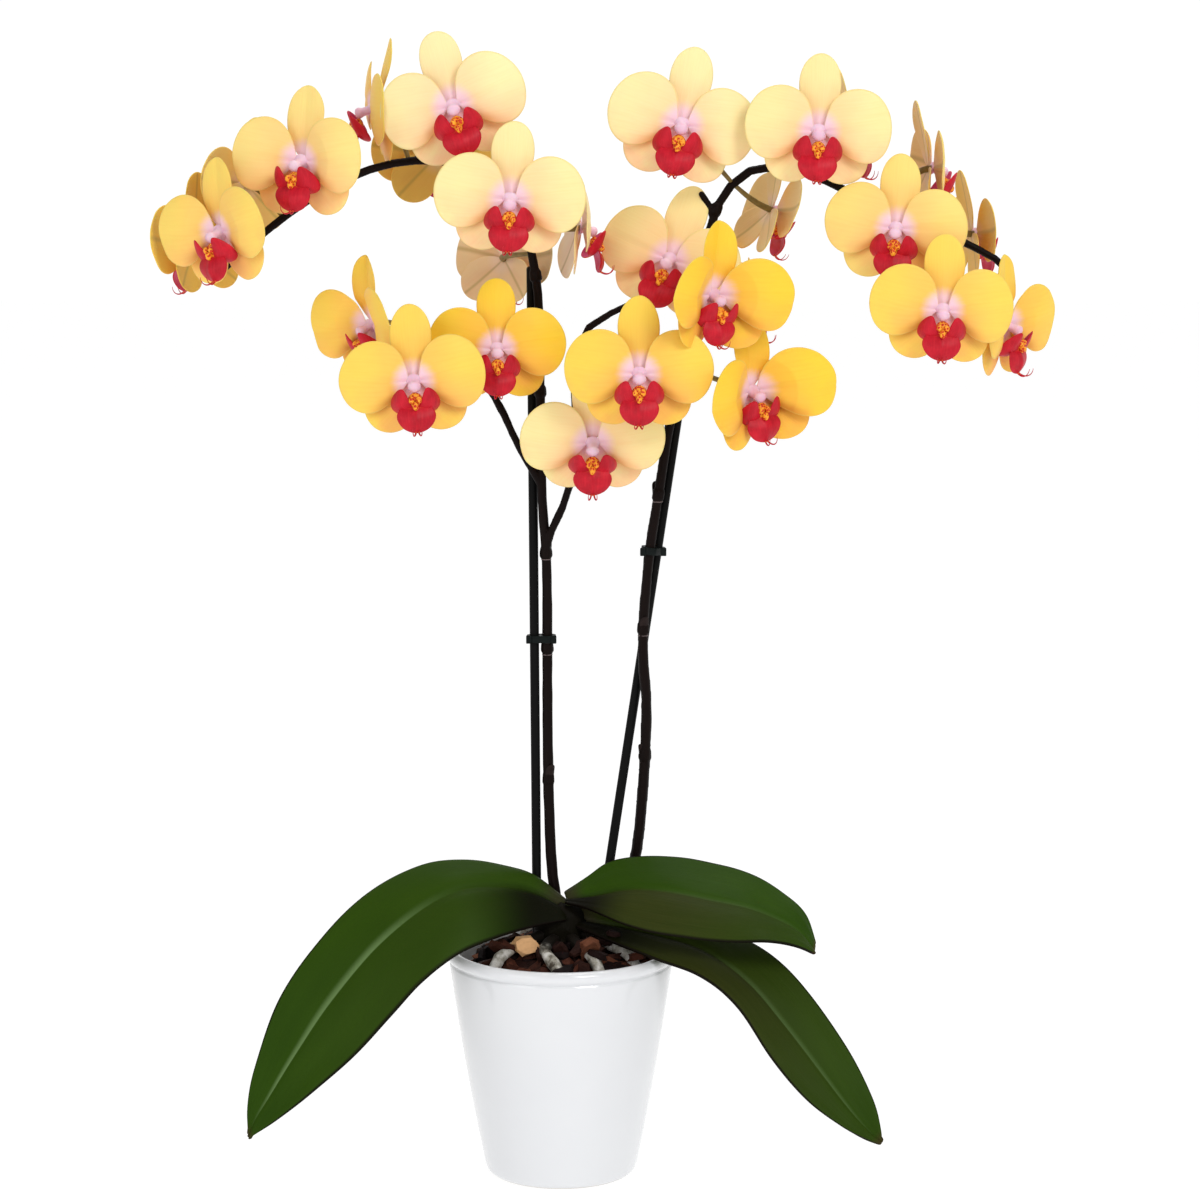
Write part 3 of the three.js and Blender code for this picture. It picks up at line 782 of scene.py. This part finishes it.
# ----------------------------------------
# Spikes: near-black flower stems, faintly ribbed and bloomed with purple. A small dry bract wraps
# each node, with a pale scar under it.
# ----------------------------------------
# Each node: its place (mm), the way its bract faces in degrees, and the stem's radius there.
SPIKE_NODES = {
    "spike_left": [((-7, 9, 223), 30, 2.7), ((-7.5, 10, 296), -25, 2.6), ((-8, 9, 350), 160, 2.5)],
    "spike_right": [((47, 8, 235), -30, 2.7), ((46, 3, 308), 20, 2.6), ((54, 4, 383), -160, 2.5)],
}
BRACT_LENGTH = 10
SCAR_DROP = 1.0 * MM

spike_skin = Finish("spike_skin", 0.4, Specular_IOR_Level=0.06)
place = spike_skin.place()
rib = spike_skin.noise(spike_skin.stretched(place, (1, 1, 0.12)), 620, 3)
bloomy = spike_skin.noise(place, 40, 3)
dusk = spike_skin.mix(rib, (0.002, 0.001, 0.001), (0.009, 0.005, 0.004))
spike_skin.set("Base Color", spike_skin.mix(bloomy * 0.35, dusk, (0.014, 0.007, 0.006)))
spike_skin.set("Roughness", 0.32 + 0.25 * rib)
spike_skin.bump(rib, 0.15 * MM, 0.6)
bract_skin = Finish("bract_skin", 0.6, Specular_IOR_Level=0.1)
streak = bract_skin.noise(bract_skin.place(), 500, 3)
bract_skin.set("Base Color", bract_skin.mix(streak, (0.005, 0.003, 0.003), (0.03, 0.018, 0.016)))
bract_skin.bump(streak, 0.15 * MM, 0.6)
scar_skin = Finish("scar_skin", 0.7)
scar_skin.set("Base Color", (0.12, 0.085, 0.085))


def bract(at, facing, radius):
    """A pointed scale that hugs the stem above its scar."""

    def place(along, across):
        angle = across * 1.35 * (1 - 0.35 * along)
        off = radius + 0.45 + 1.3 * along**3
        return Vector((-off * math.sin(angle), -off * math.cos(angle), BRACT_LENGTH * along)) * MM

    scale = blade("bract", 8, 10, place, 0.5 * MM)
    turned = Matrix.Rotation(math.radians(facing), 4, "Z")
    scale.data.transform(Matrix.Translation(Vector(at) * MM) @ turned)
    scar = added(
        bpy.ops.mesh.primitive_torus_add,
        location=Vector(at) * MM - Vector((0, 0, SCAR_DROP)),
        major_radius=(radius + 0.1) * MM,
        minor_radius=0.35 * MM,
        major_segments=24,
        minor_segments=6,
    )
    bpy.ops.object.transform_apply()
    bpy.ops.object.shade_smooth()
    set_finishes(scale, bract_skin)
    set_finishes(scar, scar_skin)
    return [scale, scar]


def stem_swell(at):
    return (0.65 + 0.25 * noise.noise(at * 90)) * MM


for node, bracts in SPIKE_NODES.items():
    stem = grown(node, "stem_" + node, 0.65 * MM, stem_swell)
    set_finishes(stem, spike_skin)
    parts = [stem]
    for spot in bracts:
        parts += bract(*spot)
    declare(joined("stem_" + node, parts), "spike_dark", node)

# ----------------------------------------
# Clips: small moulded double rings that hold a spike to its stake, with a thumb tab on each.
# ----------------------------------------
clip_plastic = Finish("clip_plastic", 0.35, Specular_IOR_Level=0.1)
grain = clip_plastic.noise(clip_plastic.place(), 900, 2)
green_black = clip_plastic.mix(grain, (0.002, 0.003, 0.003), (0.006, 0.010, 0.009))
clip_plastic.set("Base Color", green_black)
clip_plastic.set("Roughness", 0.3 + 0.2 * grain)
clip_plastic.bump(grain, 0.05 * MM, 0.5)
CLIP_TAB = Vector((3.2, 1.2, 4.6)) * MM
TAB_INSET = 1.3 * MM
for node in ("clip_left", "clip_right"):
    clip = cad_copy(node, "ring_" + node)
    sharp = {"limit_method": "ANGLE", "angle_limit": math.radians(40)}
    apply_modifier(clip, "BEVEL", width=0.45 * MM, segments=2, **sharp)
    low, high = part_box(node)
    tabs = []
    for x in (low.x + TAB_INSET, high.x - TAB_INSET):
        middle = (x, low.y + 0.6 * MM, (low.z + high.z) / 2)
        tab = added(bpy.ops.mesh.primitive_cube_add, size=1, location=middle, scale=CLIP_TAB)
        bpy.ops.object.transform_apply()
        apply_modifier(tab, "BEVEL", width=0.5 * MM, segments=3)
        tabs.append(tab)
    clip = joined("ring_" + node, [clip, *tabs])
    smooth_faces(clip, 40)
    set_finishes(clip, clip_plastic)
    declare(clip, "clip_dark", node)

# ----------------------------------------
# Blooms: each has three sepals behind two broad petals, a three-lobed crimson lip hinged under
# a short column, and one long ovary that is also its stalk. They are waxy, thin and all alike,
# so the parts are modelled once and every bloom takes its own copy, size, turn and slight warp.
# ----------------------------------------
SEPAL_THICKNESS = 0.8 * MM
PETAL_TIP_OUT = 39.6 * MM  # from the middle of a full-sized bloom to each petal's tip
PETAL_TIP_UP = 5.6 * MM
PETAL_HALF_WIDTH = 22.5
PETAL_CLOCK = 1.43
SEPAL_CLOCK = 2.36  # how far round each lower sepal is turned from the top one
LOW_REACH = 24 * MM
FOLD_SHADE_ANGLE = -37  # below the horizontal, where each petal lies over a lower sepal and painted shade runs along the fold
FOLD_SHADE_SPREAD = 10
FOLD_SHADE_REACH = 32 * MM
HEART_REACH = 11 * MM
WAXY = {"Subsurface_Weight": 0.1, "Subsurface_Scale": 2 * MM, "Specular_IOR_Level": 0.2}

petal_wax = Finish("petal_wax", 0.42, **WAXY)
petal_back = Finish("petal_back", 0.5, **WAXY)
lip_red = Finish("lip_red", 0.45, Specular_IOR_Level=0.2)
lip_under = Finish("lip_under", 0.45, Specular_IOR_Level=0.2)
lip_callus = Finish("lip_callus", 0.45, Specular_IOR_Level=0.2)
column_wax = Finish("column_wax", 0.35, **WAXY)
stalk_skin = Finish("stalk_skin", 0.4, Specular_IOR_Level=0.2)


def petal_colours(finish, is_front):
    """Cream to gold by the bloom's own tone, with a peach flush, a pink-white heart and painted
    shade along the fold over each lower sepal.
    """
    along, across = finish.uv()
    gold = finish.own("gold")
    place = finish.place()
    veins = finish.node("CombineXYZ", {}, {0: along * 1.6, 1: across * 30, 2: gold})
    vein = finish.noise(veins, 1.0, 3)
    blotch = finish.noise(place, 42, 3)
    off_middle = finish.node("Math", {"operation": "ABSOLUTE"}, {0: across - 0.5})
    reach = (2 * along - 1) * (2 * along - 1) + 4 * off_middle * off_middle
    rim = finish.steps(reach, 0.86, 1.0)
    outer = finish.mix(gold, (0.97, 0.84, 0.44), (0.96, 0.63, 0.045))
    flush = finish.mix(gold, (1.0, 0.60, 0.36), (0.97, 0.44, 0.08))
    heart = (0.96, 0.66, 0.74)
    inner = 1 - finish.steps(along + 0.5 * (blotch - 0.5), 0.2, 0.8)
    low = finish.own("low") * finish.steps(blotch, 0.3, 0.62)
    colour = finish.mix(inner * 0.4 + low * 0.75, outer, flush)
    # Painted shade: a dark orange streak along the fold where each petal lies over a lower sepal.
    fold = finish.own("fold")
    fold_shade = finish.mix(gold, (0.80, 0.33, 0.10), (0.50, 0.17, 0.006))
    colour = finish.mix(fold * 0.8, colour, fold_shade)
    glow = finish.steps(finish.own("heart") + 0.3 * (vein - 0.5), 0.05, 0.75)
    colour = finish.mix(glow, colour, heart)
    if is_front:
        colour = finish.mix(rim * 0.4, colour, (0.62, 0.54, 0.12))
    else:
        dull = finish.mix(gold, (0.86, 0.70, 0.56), (0.70, 0.45, 0.06))
        colour = finish.mix(0.8, colour, dull)
        spine = 1 - finish.steps(off_middle, 0.0, 0.06)
        colour = finish.mix(spine * 0.5, colour, (0.36, 0.27, 0.07))
    streaked = finish.mix((vein - 0.42) * 0.5, colour, (0.95, 0.72, 0.50), "MULTIPLY")
    finish.set("Base Color", streaked)
    finish.set("Roughness", 0.36 + 0.2 * blotch)
    finish.bump(vein + 0.7 * blotch, 0.15 * MM, 0.7)


petal_colours(petal_wax, True)
petal_colours(petal_back, False)

place = lip_red.place()
along, across = lip_red.uv()
mottle = lip_red.noise(place, 160, 3)
line = lip_red.grain(along * 2, across * 18, 2)
crimson = lip_red.mix(mottle, (0.30, 0.002, 0.010), (0.70, 0.010, 0.030))
crimson = lip_red.mix((line - 0.45) * 0.8, crimson, (0.86, 0.035, 0.05))
hinge = 1 - lip_red.steps(along, 0.02, 0.2)
lip_red.set("Base Color", lip_red.mix(hinge, crimson, (0.80, 0.16, 0.03)))
lip_red.bump(line, 0.2 * MM, 0.6)
pale = lip_under.noise(lip_under.place(), 130, 2)
lip_under.set("Base Color", lip_under.mix(pale, (0.50, 0.03, 0.12), (0.74, 0.14, 0.32)))
spots = lip_callus.node("TexVoronoi", {}, {"Vector": lip_callus.place(), "Scale": 700.0})
spotted = 1 - lip_callus.steps(spots, 0.35, 0.6)
lip_callus.set("Base Color", lip_callus.mix(spotted, (0.94, 0.38, 0.03), (0.60, 0.03, 0.012)))
lip_callus.bump(spots, 0.1 * MM, 0.5)
blush = column_wax.noise(column_wax.place(), 120, 2)
column_wax.set("Base Color", column_wax.mix(blush, (0.90, 0.74, 0.80), (0.78, 0.40, 0.58)))
fibre = stalk_skin.noise(stalk_skin.place(), 240, 3)
stalk_skin.set("Base Color", stalk_skin.mix(fibre, (0.10, 0.065, 0.025), (0.32, 0.24, 0.08)))
stalk_skin.bump(fibre, 0.1 * MM, 0.5)


def sepal(length, half_width, clock, lean, point, twist):
    """An oval sheet with a shallow keel. clock turns it round the bloom, point narrows its tip."""
    def place(along, across):
        outline = 0.62 + 0.72 * along - 0.26 * along * along - point * along**4
        x = half_width * across * outline
        keel = 0.5 * math.exp(-((across / 0.14) ** 2)) * (1 - along)
        depth = 2.0 + 1.5 * across * across * (0.3 + along) - keel + 2.4 * along * along
        depth += twist * across * along
        depth += 0.5 * math.sin(7 * along + 3 * across) * along * abs(across)
        return Vector((-x, depth, 1.5 + along * (length - 1.5))) * MM

    made = blade("sepal", 18, 14, place, SEPAL_THICKNESS)
    made.data.transform(Matrix.Rotation(clock, 4, "Y") @ Matrix.Rotation(-lean, 4, "X"))
    return made


def petal(side):
    """A broad round wing on a narrow claw. It widens at once above and slowly below, its face is
    crowned, and its margin is lightly waved and turned back."""

    def place(along, across):
        fullness, claw = (0.93, 0.065) if side * across > 0 else (1.0, 0.27)
        half_width = PETAL_HALF_WIDTH * fullness * (1 - 0.9 * math.exp(-along / claw))
        x = -half_width * across
        fold = 0.8 * math.exp(-(((side * across + 0.05) / 0.09) ** 2)) * (1 - along) ** 0.7
        edge = along * along * across * across
        ripple = 1.3 * math.sin(5.5 * side * across + 4 * along + side) * edge
        crown = 2.6 * math.sin(math.pi * min(1, along * 1.05)) * (1 - 0.5 * across * across)
        depth = -0.6 - crown + 3.0 * along * along + 2.6 * across * across * (0.4 + 0.6 * along)
        return Vector((x, depth + fold + ripple, 2 + along * 38)) * MM

    made = blade("petal", 26, 24, place, SEPAL_THICKNESS)
    made.data.transform(Matrix.Rotation(side * PETAL_CLOCK, 4, "Y"))
    return made


def clamped(value):
    return min(1, max(0, value))


def mark_shading(piece):
    """Gives each point three numbers that its colour follows: how low it lies, how near the fold
    between a petal and the lower sepal, where shade is painted, and how near the heart."""
    low, fold, heart = (
        piece.data.attributes.new(name, "FLOAT", "POINT") for name in ("low", "fold", "heart")
    )
    for i, vertex in enumerate(piece.data.vertices):
        x, z = abs(vertex.co.x), vertex.co.z
        reach = math.hypot(x, z)
        off_fold = (math.degrees(math.atan2(z, x)) - FOLD_SHADE_ANGLE) / FOLD_SHADE_SPREAD
        low.data[i].value = clamped(0.25 - z / LOW_REACH)
        fold.data[i].value = math.exp(-(off_fold**2)) * clamped(2.5 - 2.5 * reach / FOLD_SHADE_REACH)
        heart.data[i].value = clamped(1.3 - reach / HEART_REACH)


sepals_master = joined(
    "sepals_master",
    [
        sepal(42, 12.4, 0, 0.14, 0.10, 0.0),
        sepal(35, 15.5, SEPAL_CLOCK, 0.10, 0.16, 1.6),
        sepal(35, 15.5, -SEPAL_CLOCK, 0.10, 0.16, -1.6),
    ],
)
petals_master = joined("petals_master", [petal(1), petal(-1)])
for master in (sepals_master, petals_master):
    mark_shading(master)
    set_finishes(master, petal_wax, petal_back)


def bezier_rod(name, points, radii, sides=3):
    """A round rod along one Bezier span, as a closed mesh."""
    rod = added(bpy.ops.curve.primitive_bezier_curve_add)
    rod.name = name
    rod.data.bevel_depth = 1
    rod.data.bevel_resolution = sides
    rod.data.resolution_u = 14
    rod.data.use_fill_caps = True
    start, end = rod.data.splines[0].bezier_points
    for knob, radius in ((start, radii[0]), (end, radii[1])):
        knob.handle_left_type = knob.handle_right_type = "FREE"
        knob.radius = radius
    start.co, start.handle_right, end.handle_left, end.co = points
    start.handle_left = start.co
    end.handle_right = end.co
    bpy.ops.object.convert(target="MESH")
    rod = bpy.context.object
    bpy.ops.object.mode_set(mode="EDIT")
    bpy.ops.mesh.select_all(action="SELECT")
    bpy.ops.mesh.remove_doubles(threshold=0.005 * MM)
    bpy.ops.mesh.normals_make_consistent(inside=False)
    bpy.ops.object.mode_set(mode="OBJECT")
    bpy.ops.object.shade_smooth()
    return rod


def lip_middle_lobe(along, across):
    """A shield that hangs from the hinge, widest at its shoulders and blunt at its tip."""
    x = 11.0 * across * (1.12 - 0.3 * along)
    keel = 0.9 * math.exp(-((across / 0.16) ** 2))
    bow = 5.0 * math.sin(math.pi * min(1, 0.85 * along))
    shoulders = 3.6 * across * across * (0.4 + 0.6 * along)
    return Vector((x, -7.5 - bow - keel + shoulders, -10.5 - 16.5 * along)) * MM


def lip_side_lobe(side):
    """A cupped wing that stands up beside the callus and curves towards the front."""
    spine = ((2.0, -5.5, -16.0), (13.0, -8.5, -15.0), (8.6, -11.5, -2.0))
    start, bend, tip = (Vector((side * x, y, z)) for x, y, z in spine)
    across_way = side * Vector((-side * 0.62, -0.66, 0.42)).normalized()
    facing = Vector((side * 0.42, -0.72, -0.5)).normalized()

    def place(along, across):
        line = start * (1 - along) ** 2 + bend * 2 * along * (1 - along) + tip * along * along
        cup = 3.0 * across * across - 0.8
        return (line + across_way * (7.2 * across * (0.95 + 0.2 * along)) - facing * cup) * MM

    return blade("lip_side_lobe", 12, 10, place, 0.7 * MM)


def callus_bump(at, size):
    """One rounded bump of the callus, its place and half sizes in millimetres."""
    sphere = {"segments": 14, "ring_count": 9, "radius": MM}
    bump = added(
        bpy.ops.mesh.primitive_uv_sphere_add, location=Vector(at) * MM, scale=size, **sphere
    )
    bpy.ops.object.transform_apply()
    bpy.ops.object.shade_smooth()
    set_finishes(bump, lip_callus)
    return bump


lip_lobes = [blade("lip_middle_lobe", 18, 14, lip_middle_lobe, 0.9 * MM)]
lip_lobes += [lip_side_lobe(side) for side in (1, -1)]
for lobe in lip_lobes:
    set_finishes(lobe, lip_red, lip_under)
TENDRIL = ((0.5, -10.0, -25.5), (1.6, -14.5, -29.5), (2.8, -18.5, -27), (2.2, -18.6, -22.5))
for side in (1, -1):
    curl = [Vector((side * x, y, z)) * MM for x, y, z in TENDRIL]
    rod = bezier_rod("lip_tendril", curl, (0.55 * MM, 0.14 * MM), 2)
    set_finishes(rod, lip_red)
    lip_lobes.append(rod)
CALLUS = [
    ((2.0, -10.6, -8.6), (1.6, 2.2, 2.0)),
    ((-2.0, -10.6, -8.6), (1.6, 2.2, 2.0)),
    ((0, -11.6, -11.8), (1.6, 2.2, 2.4)),
    ((0, -7.6, -9.6), (4.2, 2.9, 4.6)),
]
lip_master = joined("lip_master", lip_lobes + [callus_bump(*spot) for spot in CALLUS])


# The column: a short rounded peg over the lip, ending in a cap. Its foot spreads into the
# disc where the sepals and petals join.
COLUMN_LENGTH = 10.0
column_profile = [
    (0, -1.0), (3.6, -0.9), (4.3, -0.3), (3.7, 0.5), (2.7, 1.4), (2.5, 3.2), (2.5, 5.0),
    (2.8, 6.2), (3.2, 7.0), (3.3, 7.8), (3.0, 8.8), (2.2, 9.5), (1.1, 9.9), (0, COLUMN_LENGTH),
]
column_master = spun("column_master", [(r * MM, z * MM) for r, z in column_profile], 24)
column_master.data.transform(
    Matrix.Rotation(math.radians(106), 4, "X") @ Matrix.Diagonal((1.12, 0.95, 1, 1))
)
set_finishes(column_master, column_wax)
MASTERS = {
    "sepals": sepals_master,
    "petals": petals_master,
    "lip": lip_master,
    "column": column_master,
}

# Each bloom's turn in degrees (yaw to its right, pitch down, roll to its right), how golden it
# is, and its CAD node, which gives its place and size.
BLOOM_TURNS = {
    "left_01": (-125, 10, 0, 0.95),
    "left_02": (-38, 5, -8, 0.75),
    "left_03": (-130, 0, 0, 0.8),
    "left_04": (-26, 0, 0, 0.5),
    "left_05": (-82, 0, 8, 0.8),
    "left_06": (0, 0, -16, 0.05),
    "left_07": (180, 0, 0, 0.9),
    "left_08": (0, 4, 3, 0.15),
    "left_09": (142, 10, 0, 0.3),
    "left_10": (100, 0, 8, -0.2),
    "left_11": (-52, 8, -6, 0.9),
    "left_12": (3, 2, -4, 0.85),
    "left_13": (4, 0, 0, 1.0),
    "middle_01": (0, 14, 0, 0.2),
    "middle_02": (0, 2, 0, 0.9),
    "middle_03": (-12, 0, 18, 0.2),
    "middle_04": (32, 6, 4, 1.0),
    "right_01": (30, 4, -8, 1.0),
    "right_02": (78, 0, 0, 1.0),
    "right_03": (0, 0, 12, 0.1),
    "right_04": (112, 20, 0, 0.6),
    "right_05": (0, 0, 3, 0.2),
    "right_06": (115, 0, 0, 0.6),
    "right_07": (100, 0, 0, 0.6),
    "right_08": (-6, 2, 5, 0.6),
    "right_09": (0, 3, 4, 0.85),
    "right_10": (108, 0, 0, 0.9),
    "right_11": (58, 6, 0, 0.9),
}
# How far the petals and sepals still lean forwards on the blooms that aren't full open.
CUPPED = {
    "left_02": 0.2,
    "left_04": 0.2,
    "left_11": 0.4,
    "middle_04": 0.58,
    "right_01": 0.65,
    "right_11": 0.3,
}
WARP = 1.4 * MM
WARP_SCALE = 28
WARP_SEED = 7  # without a seed the noise vectors differ from run to run
STALK_RADII = (1.15 * MM, 1.9 * MM)


def turn_matrix(yaw, pitch, roll):
    return (
        Matrix.Rotation(math.radians(yaw), 3, "Z")
        @ Matrix.Rotation(math.radians(pitch), 3, "X")
        @ Matrix.Rotation(math.radians(roll), 3, "Y")
    )


def read_bloom(node, turn):
    """The bloom's middle, its size against a full one, and where its stalk leaves the spike."""
    corners = [turn.transposed() @ v.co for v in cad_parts[node].data.vertices]
    tips = min(corners, key=lambda c: c.x), max(corners, key=lambda c: c.x)
    size = (tips[1].x - tips[0].x) / (2 * PETAL_TIP_OUT)
    middle = (tips[0] + tips[1]) / 2 - Vector((0, 0, PETAL_TIP_UP)) * size
    stalk_end = max(corners, key=lambda c: c.y)
    near_end = [c for c in corners if (c - stalk_end).length < 3.5 * MM]
    stalk_end = sum(near_end, Vector()) / len(near_end)
    return turn @ middle, size, turn @ stalk_end


def bloom_copy(master, name, turn, middle, size, seed, cup):
    """A copy set in place, slightly warped, and leaning forwards by its cup."""
    piece = add_object(master.data.copy(), name)
    for vertex in piece.data.vertices:
        share = vertex.co.length / PETAL_TIP_OUT
        spot = vertex.co * WARP_SCALE + Vector((seed * 3.7, seed * 1.3, 0))
        shift = noise.noise_vector(spot)
        vertex.co = vertex.co + shift * WARP * share * share
        vertex.co.y -= cup * (abs(vertex.co.x) + 0.3 * abs(vertex.co.z)) * min(1, 2 * share)
    piece.data.transform(Matrix.LocRotScale(middle, turn, (size, size, size)))
    return piece


noise.seed_set(WARP_SEED)
for seed, (bloom, (yaw, pitch, roll, gold)) in enumerate(BLOOM_TURNS.items()):
    node = "bloom_" + bloom
    turn = turn_matrix(yaw, pitch, roll)
    middle, size, stalk_end = read_bloom(node, turn)
    parts = {}
    for part, master in MASTERS.items():
        cup = CUPPED.get(bloom, 0) if part in ("sepals", "petals") else 0
        parts[part] = bloom_copy(master, f"{part}_{bloom}", turn, middle, size, seed, cup)
    back = turn @ Vector((0, 1, 0))
    leaving = (middle + back * 10 * MM - stalk_end).normalized()
    route = [
        stalk_end - leaving * 3 * MM,
        stalk_end + leaving * 6 * MM,
        middle + back * 13 * MM,
        middle,
    ]
    stalk = bezier_rod("stalk", route, STALK_RADII, 4)
    set_finishes(stalk, stalk_skin)
    parts["column"] = joined(f"column_{bloom}", [parts["column"], stalk])
    for part in ("sepals", "petals"):
        set_tone(parts[part], "gold", gold)
        declare(parts[part], "petal", node)
    declare(parts["lip"], "lip", node)
    declare(parts["column"], "column", node)

for master in MASTERS.values():
    bpy.data.objects.remove(master)
